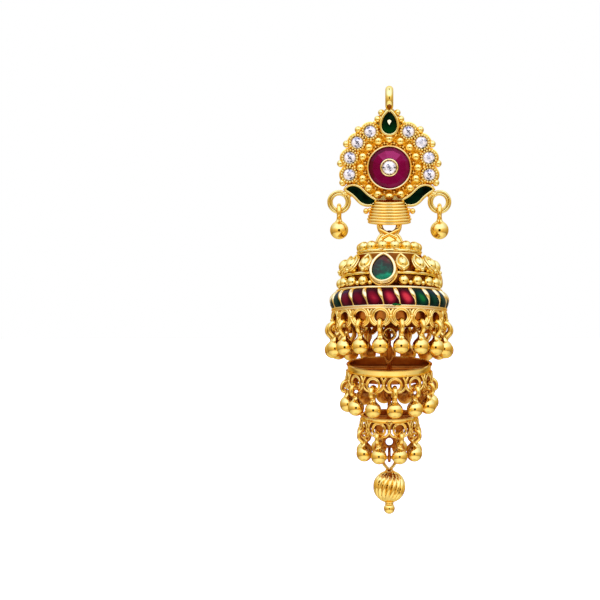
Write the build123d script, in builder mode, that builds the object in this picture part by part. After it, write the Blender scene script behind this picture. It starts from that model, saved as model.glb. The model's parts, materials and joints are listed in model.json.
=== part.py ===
from build123d import *
from math import acos, asin, atan2, cos, degrees, hypot, radians, sin
import os

# A three-tier jhumka earring, in millimetres, +Z up, seen from the front along +Y.
# The origin is on the back face of the head plate, behind the ruby, where the ear post roots.
# Every tier hangs from the one above, swings sideways about a Y axis and leans a little
# forward or back, so each is built about its own pivot and then leaned and placed.

# --- Head plate: heights run towards the front, from the back face ---
front = Plane(origin=(0, 0, 0), x_dir=(1, 0, 0), z_dir=(0, -1, 0))
carrier_thickness = 0.9
setting_height = 1.8
inlay_depth = 0.9
seat_gap = 0.04
disc_radius = 4.9

ruby_radius = 3.36
ruby_hole_radius = 1.64
ruby_bezel_radius = 3.66
ruby_height = 1.15
centre_stone_radius = 1.16
girdle_bevel = 0.3

granule_count = 16
granule_ring = 4.7
granule_radius = 0.77
zircon_angles = (62, 38, 14, -10)
zircon_ring = 6.65
zircon_radius = 1.0
zircon_setting_radius = 1.42
zircon_height = 1.1
edge_granule_angles = (50.7, 28.9, 4.8, -18)
edge_granule_ring = 8.0
edge_granule_radius = 0.6
top_granules = ((1.3, 8.95), (1.8, 7.85))

top_drop_centre = 6.75
top_drop_width = 2.47
top_drop_height = 3.5
bezel_width = 0.38
bezel_point = 2.2
top_ring_height = 11.13
top_ring_radius = 1.6
top_ring_wire = 0.65

leaf_outer_tip = (6.96, -3.65)
leaf_upper_crown = (5.9, -3.06)
leaf_upper_turn = (4.6, -3.6)
leaf_inner_tip = (2.34, -5.33)
leaf_lower_crown = (3.4, -5.97)
leaf_lower_turn = (4.7, -5.5)
leaf_rim = 0.5
leaf_height = 1.4

side_ring_centre = (8.2, -5.6)
side_ring_radius = 1.48
side_ring_wire = 0.45
side_ring_depth = 0.7

# --- Coiled half pot under the plate ---
pot_top = -5.45
pot_coil_count = 8
pot_coil_pitch = 0.456
pot_top_half_width = 1.85
pot_bottom_half_width = 3.42
pot_flare = 0.6
pot_depth_share = 0.58
pot_y = -2.0
pot_wall = 0.5
pot_ceiling = -6.8
pot_ceiling_coil = 3
neck_size = (3.6, 2.4)
neck_height = -5.3
pot_granule = (3.78, -7.17)
pot_granule_radius = 0.45
pot_bead = (3.1, -7.1)
pot_bead_radius = 0.42

# --- Pivots of the tiers and their lean about X, positive towards the front ---
dome_lean = -6.5
tier_two_lean = 7.5
tier_three_lean = 7.0
dome_pivot = Vector(0, pot_y, -8.8)
dome_stem_length = 18.5
tier_two_stem_length = 10.0
tier_three_stem_length = 10.9
tier_two_pivot = dome_pivot - Vector(0, 0, dome_stem_length).rotate(Axis.X, dome_lean)
tier_three_pivot = tier_two_pivot - Vector(0, 0, tier_two_stem_length).rotate(Axis.X, tier_two_lean)
end_pivot = tier_three_pivot - Vector(0, 0, tier_three_stem_length).rotate(Axis.X, tier_three_lean)
dome_place = Location(dome_pivot, (dome_lean, 0, 0))
tier_two_place = Location(tier_two_pivot, (tier_two_lean, 0, 0))
tier_three_place = Location(tier_three_pivot, (tier_three_lean, 0, 0))
end_place = Location(end_pivot)

# --- Links: a staple in the pot carries the bail, and each stem ring carries a link ---
staple_radius = 1.05
staple_wire = 0.33
staple_leg = 1.2
bail_radius = 1.55
bail_wire = 0.5
bail_centre = -0.6
yoke_radius = 1.8
yoke_wire = 0.45
yoke_centre = -3.75
stem_wire = 0.5
link_gap = 0.2
stem_ring_radius = 0.95
stem_ring_wire = 0.28
link_radius = 0.95
link_wire = 0.3

# --- Dome, heights from its pivot ---
# Sections are rows of radius and height.
dome_shoulder = (
    (0.0, -3.08), (1.7, -3.12), (2.6, -3.55), (3.9, -3.85), (5.2, -4.6), (5.3, -5.45), (6.2, -6.1),
    (7.1, -7.2), (7.6, -8.6), (7.7, -9.3), (7.1, -9.6), (7.1, -10.8), (8.1, -11.05), (8.45, -11.3),
)
enamel_face = ((8.6, -11.62), (9.1, -12.0), (9.45, -13.1), (9.38, -13.9), (9.2, -14.42))
dome_rim = ((9.2, -14.6), (9.2, -15.05), (8.5, -15.05))
dome_hollow = (
    (8.35, -13.0), (7.7, -11.7), (6.4, -10.7), (6.4, -9.6), (6.7, -8.6),
    (5.6, -6.9), (4.0, -5.3), (0.0, -4.3),
)
cap_bead_count = 14
cap_bead_ring = 4.47
cap_bead_height = -4.17
cap_bead_radius = 0.74
belt_bead_angles = (24.5, 42.25, 60.0, 77.75, 95.5)
belt_bead_ring = 7.86
belt_bead_height = -10.14
belt_bead_radius = 0.79
shelf_height = -9.2
shelf_radius = 7.75
shelf_wire = 0.24
collar_height = -5.15
collar_radius = 5.15
collar_wire = 0.28
rim_wire_height = -11.3
rim_wire_radius = 8.35
rim_wire = 0.3

emerald_azimuth = -7.5
emerald_count = 3
emerald_ring = 7.35
emerald_height = -8.65
emerald_lean = 20.0
emerald_width = 3.4
emerald_length = 4.6
emerald_depth = 1.0
emerald_bezel = 0.55
emerald_seat = 1.0
emerald_rise = 1.0
pear_frame_angles = (24, 48, 72, 96)
pear_frame_ring = 7.1
pear_frame_height = -7.6
pear_frame_width = 2.1
pear_frame_length = 2.9
pear_frame_rise = 0.6
pear_frame_seat = 0.6
pear_frame_lean = 28.0
pear_boss_radius = 0.85

enamel_cells = 22
enamel_depth = 0.5
enamel_gap = 0.05
enamel_middle = -13.0
divider_width = 0.5
divider_length = 3.6
divider_slant = 20.0
cutter_reach = 0.4
red_cells = (0, 1, 8, 9, 10, 11, 12, 19, 20, 21)

# --- Ring rows and their drops ---
hang_gap = 0.08
dome_ring_count = 17
dome_ring_row = 9.2
dome_ring_height = -16.4
dome_ring_radius = 1.25
dome_ring_wire = 0.27
dome_ring_phase = 0.57
dome_ball_radius = 1.3
dome_drop_length = 3.53
loop_radius = 0.95
loop_wire = 0.36
leg_spread = 1.15
leg_sink = 1.5
side_loop_radius = 1.05
side_loop_wire = 0.38
side_ball_radius = 1.5
side_drop_length = 2.98

tier_two_count = 12
tier_two_phase = 0.25
tier_two_radius = 6.95
tier_two_row = 6.8
tier_two_top = -4.78
tier_two_bottom = -5.9
tier_two_ring_height = -7.06
tier_two_ring_radius = 1.06
tier_two_drop_length = 3.25
tier_two_ball_radius = 1.22

tier_three_count = 8
tier_three_phase = 0.5
tier_three_radius = 4.73
tier_three_row = 4.42
tier_three_top = -3.18
tier_three_bottom = -3.82
tier_three_ring_height = -5.0
tier_three_ring_radius = 1.08
tier_three_drop_length = 3.3
tier_three_ball_radius = 1.23

small_ring_wire = 0.22
band_wall = 0.6
cross_bar_width = 1.0
cross_bar_thickness = 0.5
web_height = 0.4

# --- Hanger under tier three and the end drop, heights from their pivots ---
hanger_radius = 0.86
hanger_wire = 0.28
hanger_centre = -7.7
joiner_radius = 1.0
joiner_wire = 0.25
end_ring_centre = -0.43
end_ring_radius = 1.04
end_ring_wire = 0.26
melon_centre = -4.24
melon_radius = 2.55
end_granule = -7.79
end_granule_radius = 0.91
end_collar_radius = 0.7

# --- Ear post ---
post_radius = 0.45
post_length = 10.5
post_tip = 0.36
foot_radius = 1.6
foot_thickness = 0.5


def around(radius, azimuth, height):
    # Azimuth 0 is the front and grows towards +X.
    turn = radians(azimuth)
    return Vector(radius * sin(turn), -radius * cos(turn), height)


def facing(radius, azimuth, height, lean=0.0):
    # A plane that faces outwards from the axis, its top leaned in by the given angle.
    turn = radians(azimuth)
    tip = radians(lean)
    outward = (sin(turn) * cos(tip), -cos(turn) * cos(tip), sin(tip))
    return Plane(origin=around(radius, azimuth, height), x_dir=(cos(turn), sin(turn), 0), z_dir=outward)


def draw_pear(width, height):
    # A half circle under a pointed arch, tangent where they meet.
    half = width / 2
    rise = height - half
    side_radius = (half**2 + rise**2) / width
    middle = asin(rise / side_radius) / 2
    side_x = half - side_radius + side_radius * cos(middle)
    side_y = side_radius * sin(middle)
    ThreePointArc((-half, 0), (0, -half), (half, 0))
    ThreePointArc((half, 0), (side_x, side_y), (0, rise))
    ThreePointArc((0, rise), (-side_x, side_y), (-half, 0))


def draw_leaf(side):
    # An S-shaped leaf between two tips; side is 1 on the right and -1 on the left.
    for start, crown_point, turn_point, end in (
        (leaf_outer_tip, leaf_upper_crown, leaf_upper_turn, leaf_inner_tip),
        (leaf_inner_tip, leaf_lower_crown, leaf_lower_turn, leaf_outer_tip),
    ):
        bulge = [(side * x, z) for x, z in (start, crown_point, turn_point)]
        first = ThreePointArc(*bulge)
        TangentArc(bulge[-1], (side * end[0], end[1]), tangent=first % 1)


def finish(part, name):
    part.label = name
    export_step(part, f"parts/{name}.step")


zircon_places = [
    (side * zircon_ring * cos(radians(angle)), zircon_ring * sin(radians(angle)))
    for side in (1, -1)
    for angle in zircon_angles
]
edge_granule_places = [
    (side * edge_granule_ring * cos(radians(angle)), edge_granule_ring * sin(radians(angle)))
    for side in (1, -1)
    for angle in edge_granule_angles
]
top_granule_places = [(side * x, z) for side in (1, -1) for x, z in top_granules]
sides = {"left": -1, "right": 1}


def coil_half_width(index):
    share = index / (pot_coil_count - 1)
    return pot_top_half_width + (pot_bottom_half_width - pot_top_half_width) * share**pot_flare


ceiling_half_width = coil_half_width(pot_ceiling_coil)


with BuildPart() as head_plate:
    with BuildSketch(front) as carrier:
        Circle(disc_radius)
        with Locations(*zircon_places):
            Circle(zircon_setting_radius)
        with Locations(*edge_granule_places, *top_granule_places):
            Circle(edge_granule_radius)
    extrude(amount=carrier_thickness)
    with BuildSketch(front) as settings:
        Circle(ruby_bezel_radius)
        with Locations(*zircon_places):
            Circle(zircon_setting_radius)
        with Locations((0, neck_height)):
            Rectangle(*neck_size)
    extrude(amount=setting_height)
    with BuildSketch(
        Plane((0, 0, top_drop_centre), x_dir=front.x_dir, z_dir=front.z_dir)
    ):
        with BuildLine():
            draw_pear(top_drop_width + 2 * bezel_width, top_drop_height + bezel_point * bezel_width)
        make_face()
    extrude(amount=setting_height)
    for side in sides.values():
        with BuildSketch(front):
            with BuildLine():
                draw_leaf(side)
            make_face()
            offset(amount=leaf_rim)
        extrude(amount=leaf_height)
        ring_x, ring_z = side_ring_centre
        with Locations(Location((side * ring_x, -side_ring_depth, ring_z), (90, 0, 0))):
            Torus(side_ring_radius, side_ring_wire)
    with Locations(Location((0, -setting_height / 2, top_ring_height), (0, 90, 0))):
        Torus(top_ring_radius, top_ring_wire)
    with Locations(front.offset(carrier_thickness)):
        with PolarLocations(granule_ring, granule_count, start_angle=90):
            Sphere(granule_radius)
        with Locations(*edge_granule_places, *top_granule_places):
            Sphere(edge_granule_radius)
    for index in range(pot_coil_count):
        width = coil_half_width(index)
        with BuildSketch(Plane.XY.offset(pot_top - (index + 1) * pot_coil_pitch)):
            with Locations((0, pot_y)):
                Ellipse(width, pot_depth_share * width)
        extrude(amount=pot_coil_pitch)
    with Locations(*[(side * pot_granule[0], pot_y, pot_granule[1]) for side in sides.values()]):
        Sphere(pot_granule_radius)
    with Locations(*[(side * pot_bead[0], pot_y, pot_bead[1]) for side in sides.values()]):
        Sphere(pot_bead_radius)
    # The pot is hollow and open below, and holds the staple.
    with BuildSketch(Plane.XY.offset(pot_ceiling)):
        with Locations((0, pot_y)):
            Ellipse(ceiling_half_width - pot_wall, pot_depth_share * ceiling_half_width - pot_wall / 2)
    with BuildSketch(Plane.XY.offset(pot_top - (pot_coil_count + 1) * pot_coil_pitch)):
        with Locations((0, pot_y)):
            Ellipse(pot_bottom_half_width - pot_wall, pot_depth_share * pot_bottom_half_width - pot_wall)
    loft(mode=Mode.SUBTRACT)
    with Locations(Plane((0, pot_y, dome_pivot.Z + staple_radius), x_dir=(0, 1, 0), z_dir=(-1, 0, 0))):
        Torus(staple_radius, staple_wire, major_angle=180, align=None)
    with Locations(*[(0, pot_y + end * staple_radius, dome_pivot.Z + staple_radius) for end in (-1, 1)]):
        Cylinder(staple_wire, staple_leg, align=(Align.CENTER, Align.CENTER, Align.MIN))
    # Seats for the stones and the enamel.
    with BuildSketch(front.offset(setting_height - inlay_depth)) as stone_seats:
        Circle(ruby_radius + seat_gap)
        Circle(ruby_hole_radius - seat_gap, mode=Mode.SUBTRACT)
        Circle(centre_stone_radius + seat_gap)
        with Locations(*zircon_places):
            Circle(zircon_radius + seat_gap)
    extrude(amount=2 * inlay_depth, mode=Mode.SUBTRACT)
    with BuildSketch(
        Plane(
            (0, inlay_depth - setting_height, top_drop_centre), x_dir=front.x_dir, z_dir=front.z_dir
        )
    ):
        with BuildLine():
            draw_pear(top_drop_width + 2 * seat_gap, top_drop_height + 2 * seat_gap)
        make_face()
    extrude(amount=2 * inlay_depth, mode=Mode.SUBTRACT)
    for side in sides.values():
        with BuildSketch(front.offset(leaf_height - inlay_depth)):
            with BuildLine():
                draw_leaf(side)
            make_face()
        extrude(amount=2 * inlay_depth, mode=Mode.SUBTRACT)
finish(head_plate.part, "head_plate")

with BuildPart() as ear_post:
    with BuildSketch(Plane.XZ.offset(-seat_gap)):
        Circle(foot_radius)
    extrude(amount=-foot_thickness)
    with BuildSketch(Plane.XZ.offset(-seat_gap)):
        Circle(post_radius)
    extrude(amount=-post_length)
    fillet(ear_post.edges().sort_by(Axis.Y)[-1], post_tip)
finish(ear_post.part, "ear_post")


# --- Stones and inlays of the head plate, each in its seat with a small gap below ---
stone_floor = setting_height - inlay_depth + seat_gap

with BuildPart() as ruby_disc:
    with BuildSketch(front.offset(stone_floor)):
        Circle(ruby_radius)
        Circle(ruby_hole_radius, mode=Mode.SUBTRACT)
    extrude(amount=ruby_height)
    chamfer(ruby_disc.faces().sort_by(Axis.Y)[0].edges(), girdle_bevel)
finish(ruby_disc.part, "ruby_disc")

with BuildPart() as centre_zircon:
    with BuildSketch(front.offset(stone_floor)):
        Circle(centre_stone_radius)
    extrude(amount=ruby_height)
    chamfer(centre_zircon.faces().sort_by(Axis.Y)[0].edges(), girdle_bevel)
finish(centre_zircon.part, "centre_zircon")

with BuildPart() as plate_zircons:
    with BuildSketch(front.offset(stone_floor)):
        with Locations(*zircon_places):
            Circle(zircon_radius)
    extrude(amount=zircon_height)
    chamfer(plate_zircons.faces().group_by(Axis.Y)[0].edges(), girdle_bevel)
finish(plate_zircons.part, "plate_zircons")

with BuildPart() as top_drop:
    with BuildSketch(
        Plane((0, -stone_floor, top_drop_centre), x_dir=front.x_dir, z_dir=front.z_dir)
    ):
        with BuildLine():
            draw_pear(top_drop_width, top_drop_height)
        make_face()
    extrude(amount=inlay_depth)
finish(top_drop.part, "top_drop")

for side_name, side in sides.items():
    with BuildPart() as leaf:
        with BuildSketch(front.offset(leaf_height - inlay_depth + seat_gap)):
            with BuildLine():
                draw_leaf(side)
            make_face()
            offset(amount=-seat_gap)
        extrude(amount=inlay_depth - seat_gap)
    finish(leaf.part, f"leaf_{side_name}")


# --- Ball drops: a loop through a ring, drawn together above the ball ---
def ball_drop(carried_by, loop, wire, ball, length):
    # The origin is the middle of the ring's lowest wire, whose radius is carried_by. The loop
    # lies in the YZ plane, and each leg runs from inside the ball to where it meets the arc.
    arc_height = carried_by + hang_gap - loop + wire
    foot_y = leg_spread * wire
    foot_z = ball - length - leg_sink * wire
    touch = atan2(foot_y, -foot_z) + acos(loop / hypot(foot_y, foot_z))
    touch_y = loop * sin(touch)
    touch_z = -loop * cos(touch)
    with BuildPart() as drop:
        with BuildLine(Plane.YZ.move(Location((0, 0, arc_height)))) as loop_path:
            Line((-foot_y, foot_z), (-touch_y, touch_z))
            ThreePointArc((-touch_y, touch_z), (0, loop), (touch_y, touch_z))
            Line((touch_y, touch_z), (foot_y, foot_z))
        with BuildSketch(Plane(loop_path.line @ 0, z_dir=loop_path.line % 0)):
            Circle(wire)
        sweep(path=loop_path.line)
        with Locations((0, 0, arc_height - length)):
            Sphere(ball)
    return drop.part


side_drop = ball_drop(
    side_ring_wire, side_loop_radius, side_loop_wire, side_ball_radius, side_drop_length
)
for side_name, side in sides.items():
    side_hook = (
        side * side_ring_centre[0], -side_ring_depth, side_ring_centre[1] - side_ring_radius
    )
    finish(Location(side_hook) * side_drop, f"side_drop_{side_name}")


def ring_row(count, phase, row, height):
    return [facing(row, (index + phase) * 360 / count, height) for index in range(count)]


def ring_chord(count, row):
    return 2 * row * sin(radians(180 / count))


def row_drops(name, place, count, phase, row, height, ring_wire, ball, length):
    # The drops hang plumb from a row of rings, whatever the row's own lean.
    drop = ball_drop(ring_wire, loop_radius, loop_wire, ball, length)
    for index in range(count):
        azimuth = (index + phase) * 360 / count
        hook = (place * Location(around(row, azimuth, height))).position
        finish(Location(hook, (0, 0, azimuth)) * drop, f"{name}_{index + 1:02d}")


# --- Dome ---
groove_floor = [(radius - enamel_depth, height) for radius, height in reversed(enamel_face)]
divider_planes = ring_row(enamel_cells, 0.5, enamel_face[2][0], enamel_middle)
emerald_azimuths = [emerald_azimuth + index * 360 / emerald_count for index in range(emerald_count)]
emerald_planes = [
    facing(emerald_ring, azimuth, emerald_height, emerald_lean) for azimuth in emerald_azimuths
]
pear_frame_planes = [
    facing(pear_frame_ring, azimuth + angle, pear_frame_height, pear_frame_lean)
    for azimuth in emerald_azimuths
    for angle in pear_frame_angles
]
belt_beads = [
    around(belt_bead_ring, azimuth + angle, belt_bead_height)
    for azimuth in emerald_azimuths
    for angle in belt_bead_angles
]
face_on = {"x_dir": (1, 0, 0), "z_dir": (0, -1, 0)}
edge_on = {"x_dir": (0, 1, 0), "z_dir": (1, 0, 0)}
stem_ring_rise = stem_ring_radius - link_wire - stem_ring_wire - link_gap


def enamel_ring(gap, reach):
    # The band's enamel, cut into cells by slanted walls; reach widens it into a cutter.
    with BuildPart() as ring:
        with BuildSketch(Plane.XZ):
            with BuildLine():
                outer = [(radius + reach, height) for radius, height in enamel_face]
                Polyline(*outer, *groove_floor, close=True)
            make_face()
            if gap:
                offset(amount=-gap)
        revolve(axis=Axis.Z)
        with Locations(*divider_planes):
            Box(
                divider_width + 2 * gap,
                divider_length,
                6 * enamel_depth,
                rotation=(0, 0, divider_slant),
                mode=Mode.SUBTRACT,
            )
    return ring.part


def rod(top, bottom, radius):
    with Locations((0, 0, (top + bottom) / 2)):
        Cylinder(radius, top - bottom)


with BuildPart() as emerald_seats:
    with BuildSketch(*[plane.offset(emerald_rise - emerald_depth) for plane in emerald_planes]):
        with BuildLine():
            draw_pear(emerald_width + 2 * seat_gap, emerald_length + 2 * seat_gap)
        make_face()
    extrude(amount=2 * emerald_depth)

enamel_cutter = enamel_ring(0, cutter_reach)

with BuildPart() as dome:
    with BuildSketch(Plane.XZ):
        with BuildLine():
            Polyline(*dome_shoulder, *enamel_face, *dome_rim, *dome_hollow, close=True)
        make_face()
    revolve(axis=Axis.Z)
    add(enamel_cutter, mode=Mode.SUBTRACT)
    add(emerald_seats.part, mode=Mode.SUBTRACT)
    # Bail and yoke above, stem and stem ring below.
    with Locations(Plane((0, 0, bail_centre), **face_on)):
        Torus(bail_radius, bail_wire)
    with Locations(Plane((0, 0, yoke_centre), **face_on)):
        Torus(yoke_radius, yoke_wire, major_angle=180, align=None)
    rod(dome_hollow[-1][1] + stem_wire, stem_ring_rise + stem_ring_radius - dome_stem_length, stem_wire)
    with Locations(Plane((0, 0, stem_ring_rise - dome_stem_length), **face_on)):
        Torus(stem_ring_radius, stem_ring_wire)
finish(dome_place * dome.part, "dome")

# What is soldered on the shell's outside: it ends at the shell's face.
with BuildPart() as dome_trim:
    with PolarLocations(cap_bead_ring, cap_bead_count):
        with Locations((0, 0, cap_bead_height)):
            Sphere(cap_bead_radius)
    with Locations(*belt_beads):
        Sphere(belt_bead_radius)
    for ring_radius, ring_height, wire in (
        (collar_radius, collar_height, collar_wire),
        (shelf_radius, shelf_height, shelf_wire),
        (rim_wire_radius, rim_wire_height, rim_wire),
    ):
        with Locations((0, 0, ring_height)):
            Torus(ring_radius, wire)
    with BuildSketch(*[plane.offset(-pear_frame_seat) for plane in pear_frame_planes]):
        with BuildLine():
            draw_pear(pear_frame_width, pear_frame_length)
        make_face()
    extrude(amount=pear_frame_seat + pear_frame_rise)
    with Locations(*pear_frame_planes):
        Sphere(pear_boss_radius)
    with BuildSketch(*[plane.offset(-emerald_seat) for plane in emerald_planes]):
        with BuildLine():
            draw_pear(
                emerald_width + 2 * emerald_bezel, emerald_length + bezel_point * emerald_bezel
            )
        make_face()
    extrude(amount=emerald_seat + emerald_rise)
    add(emerald_seats.part, mode=Mode.SUBTRACT)
    with BuildSketch(Plane.XZ):
        with BuildLine():
            Polyline(*dome_shoulder, *enamel_face, (0, enamel_face[-1][1]), close=True)
        make_face()
    revolve(axis=Axis.Z, mode=Mode.SUBTRACT)
finish(dome_place * dome_trim.part, "dome_trim")

# The fringe's ring row under the rim, each ring joined to its neighbours by a web.
dome_chord = ring_chord(dome_ring_count, dome_ring_row)
with BuildPart() as dome_rings:
    with Locations(*ring_row(dome_ring_count, dome_ring_phase, dome_ring_row, dome_ring_height)):
        Torus(dome_ring_radius, dome_ring_wire)
    with Locations(*ring_row(dome_ring_count, dome_ring_phase + 0.5, dome_ring_row, dome_ring_height)):
        Box(dome_chord - 2 * dome_ring_radius, web_height, 2 * dome_ring_wire)
    with BuildSketch(Plane.XY.offset(dome_rim[-1][1])):
        Circle(2 * dome_ring_row)
    extrude(amount=dome_ring_radius, mode=Mode.SUBTRACT)
finish(dome_place * dome_rings.part, "dome_rings")

enamel = enamel_ring(enamel_gap, 0)
cell_angle = 360 / enamel_cells


def cell_number(cell):
    centre = cell.center()
    return round(degrees(atan2(centre.X, -centre.Y)) / cell_angle) % enamel_cells


with BuildPart() as enamel_red:
    add([cell for cell in enamel.solids() if cell_number(cell) in red_cells])
finish(dome_place * enamel_red.part, "enamel_red")

with BuildPart() as enamel_green:
    add([cell for cell in enamel.solids() if cell_number(cell) not in red_cells])
finish(dome_place * enamel_green.part, "enamel_green")

for index, plane in enumerate(emerald_planes):
    with BuildPart() as emerald:
        with BuildSketch(plane.offset(emerald_rise - emerald_depth + seat_gap)):
            with BuildLine():
                draw_pear(emerald_width, emerald_length)
            make_face()
        extrude(amount=emerald_depth)
    finish(dome_place * emerald.part, f"emerald_{index + 1}")

row_drops(
    "dome_drop", dome_place, dome_ring_count, dome_ring_phase, dome_ring_row,
    dome_ring_height - dome_ring_radius, dome_ring_wire, dome_ball_radius, dome_drop_length,
)


# --- Lower tiers: a band on crossed bars, with a ring row below and a link above ---
def crown(name, place, count, phase, row, radius, top, bottom, ring_height, ring_radius, below):
    chord = ring_chord(count, row)
    bar_height = (top + bottom) / 2
    with BuildPart() as tier:
        with BuildSketch(Plane.XY.offset(bottom)):
            Circle(radius)
            Circle(radius - band_wall, mode=Mode.SUBTRACT)
        extrude(amount=top - bottom)
        for turn in (0, 90):
            with Locations((0, 0, bar_height)):
                Box(
                    2 * radius - band_wall,
                    cross_bar_width,
                    cross_bar_thickness,
                    rotation=(0, 0, turn),
                )
        with Locations(*ring_row(count, phase, row, ring_height)):
            Torus(ring_radius, small_ring_wire)
        with Locations(*ring_row(count, phase + 0.5, row, ring_height)):
            Box(chord - 2 * ring_radius, web_height, 2 * small_ring_wire)
        with Locations(Plane((0, 0, -link_radius), **edge_on)):
            Torus(link_radius, link_wire)
        rod(-2 * link_radius, bar_height, link_wire)
        below(bar_height)
    finish(place * tier.part, name)


def tier_two_below(bar_height):
    # A rod down to the ring that carries tier three.
    ring_centre = stem_ring_rise - tier_two_stem_length
    rod(bar_height, ring_centre + stem_ring_radius, stem_wire)
    with Locations(Plane((0, 0, ring_centre), **face_on)):
        Torus(stem_ring_radius, stem_ring_wire)


def tier_three_below(bar_height):
    # A rod, a face-on ring and the edge-on ring that carries the end drop.
    rod(bar_height, hanger_centre + hanger_radius, hanger_wire)
    with Locations(Plane((0, 0, hanger_centre), **face_on)):
        Torus(hanger_radius, hanger_wire)
    with Locations(Plane((0, 0, joiner_radius - tier_three_stem_length), **edge_on)):
        Torus(joiner_radius, joiner_wire)


crown(
    "tier_two_crown", tier_two_place, tier_two_count, tier_two_phase, tier_two_row, tier_two_radius,
    tier_two_top, tier_two_bottom, tier_two_ring_height, tier_two_ring_radius, tier_two_below,
)
row_drops(
    "tier_two_drop", tier_two_place, tier_two_count, tier_two_phase, tier_two_row,
    tier_two_ring_height - tier_two_ring_radius, small_ring_wire, tier_two_ball_radius,
    tier_two_drop_length,
)
crown(
    "tier_three_crown", tier_three_place, tier_three_count, tier_three_phase, tier_three_row,
    tier_three_radius, tier_three_top, tier_three_bottom, tier_three_ring_height,
    tier_three_ring_radius, tier_three_below,
)
row_drops(
    "tier_three_drop", tier_three_place, tier_three_count, tier_three_phase, tier_three_row,
    tier_three_ring_height - tier_three_ring_radius, small_ring_wire, tier_three_ball_radius,
    tier_three_drop_length,
)

# --- End drop: a ring, a round bead and a granule on a collar ---
with BuildPart() as end_drop:
    with Locations(Plane((0, 0, end_ring_centre), **face_on)):
        Torus(end_ring_radius, end_ring_wire)
    with Locations((0, 0, melon_centre)):
        Sphere(melon_radius)
    with Locations((0, 0, end_granule)):
        Sphere(end_granule_radius)
    rod(melon_centre, end_granule, end_collar_radius)
finish(end_place * end_drop.part, "end_drop")
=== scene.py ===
import json
from math import asin, atan2, cos, pi, radians, sin, tan

import bmesh
import bpy
from mathutils import Matrix, Vector


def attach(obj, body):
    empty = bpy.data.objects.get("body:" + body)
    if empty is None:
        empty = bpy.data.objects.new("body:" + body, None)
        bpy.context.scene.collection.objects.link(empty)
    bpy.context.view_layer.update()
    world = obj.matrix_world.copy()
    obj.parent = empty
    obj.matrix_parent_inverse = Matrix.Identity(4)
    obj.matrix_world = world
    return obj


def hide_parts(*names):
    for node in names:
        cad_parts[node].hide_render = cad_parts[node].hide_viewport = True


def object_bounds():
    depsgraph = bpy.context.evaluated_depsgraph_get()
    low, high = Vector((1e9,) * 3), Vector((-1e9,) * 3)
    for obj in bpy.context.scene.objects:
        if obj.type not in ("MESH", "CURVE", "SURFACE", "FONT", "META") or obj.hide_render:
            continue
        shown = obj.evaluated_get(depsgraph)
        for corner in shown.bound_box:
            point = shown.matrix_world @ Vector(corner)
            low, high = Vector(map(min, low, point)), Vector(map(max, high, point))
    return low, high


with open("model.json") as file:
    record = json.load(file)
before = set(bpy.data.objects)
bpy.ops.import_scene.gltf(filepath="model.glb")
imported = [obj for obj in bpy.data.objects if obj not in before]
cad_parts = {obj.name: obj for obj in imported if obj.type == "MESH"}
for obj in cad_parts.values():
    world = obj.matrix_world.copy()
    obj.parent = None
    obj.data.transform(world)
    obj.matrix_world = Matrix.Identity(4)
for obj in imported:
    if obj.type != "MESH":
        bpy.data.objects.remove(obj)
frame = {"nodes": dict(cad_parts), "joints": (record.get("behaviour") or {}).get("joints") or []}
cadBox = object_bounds()
mm = 0.001
print("frame loaded:", len(frame["nodes"]), "nodes")


# --- Places: each tier is shaped about its own pivot, then leaned and hung there ---
def at(x, y, z):
    return Matrix.Translation((x * mm, y * mm, z * mm))


def turn(angle, axis):
    return Matrix.Rotation(radians(angle), 4, axis)


def onPlate(x, z, height):   # the place's own Z points to the front, its Y up
    return at(x, -height, z) @ turn(90, "X")


def around(radius, azimuth, height, lean=0):   # faces outwards; azimuth 0 is the front
    return turn(azimuth, "Z") @ at(0, -radius, height) @ turn(90 - lean, "X")


pivots = [Vector(joint["pos_m"]) for joint in frame["joints"]]


def hung(start, end):   # leaned so that the stem points at the next pivot
    lean = atan2(end.y - start.y, start.z - end.z)
    return Matrix.Translation(start) @ Matrix.Rotation(lean, 4, "X")


domePlace = hung(pivots[0], pivots[1])
tierTwoPlace = hung(pivots[1], pivots[2])
tierThreePlace = hung(pivots[2], pivots[3])
endPlace = Matrix.Translation(pivots[3])
upright = Matrix.Identity(4)


# --- Small shapes, in millimetres, each a bmesh of its own ---
def ball(radius, sides=20, down=12, squash=(1, 1, 1)):
    shape = bmesh.new()
    bmesh.ops.create_uvsphere(shape, u_segments=sides, v_segments=down, radius=radius * mm)
    bmesh.ops.scale(shape, vec=squash, verts=shape.verts)
    return shape


def spun(shape, steps, angle=2 * pi):
    bmesh.ops.spin(
        shape, geom=shape.verts[:] + shape.edges[:], cent=(0, 0, 0), axis=(0, 0, 1), dvec=(0, 0, 0),
        angle=angle, steps=steps, use_merge=angle >= 2 * pi, use_normal_flip=False, use_duplicate=False,
    )
    bmesh.ops.remove_doubles(shape, verts=shape.verts, dist=1e-7)
    bmesh.ops.recalc_face_normals(shape, faces=shape.faces)
    return shape


def hoop(radius, wire, steps=32, sides=8, angle=2 * pi):   # a wire ring about Z
    shape = bmesh.new()
    bmesh.ops.create_circle(shape, segments=sides, radius=wire * mm)
    bmesh.ops.rotate(shape, verts=shape.verts, cent=(0, 0, 0), matrix=Matrix.Rotation(pi / 2, 3, "X"))
    bmesh.ops.translate(shape, verts=shape.verts, vec=(radius * mm, 0, 0))
    return spun(shape, steps, angle)


def turned(profile, steps=48, closed=False):   # a profile of (radius, height) turned about Z
    shape = bmesh.new()
    verts = [shape.verts.new((radius * mm, 0, height * mm)) for radius, height in profile]
    for pair in zip(verts, verts[1:] + (verts[:1] if closed else [])):
        shape.edges.new(pair)
    return spun(shape, steps)


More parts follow.
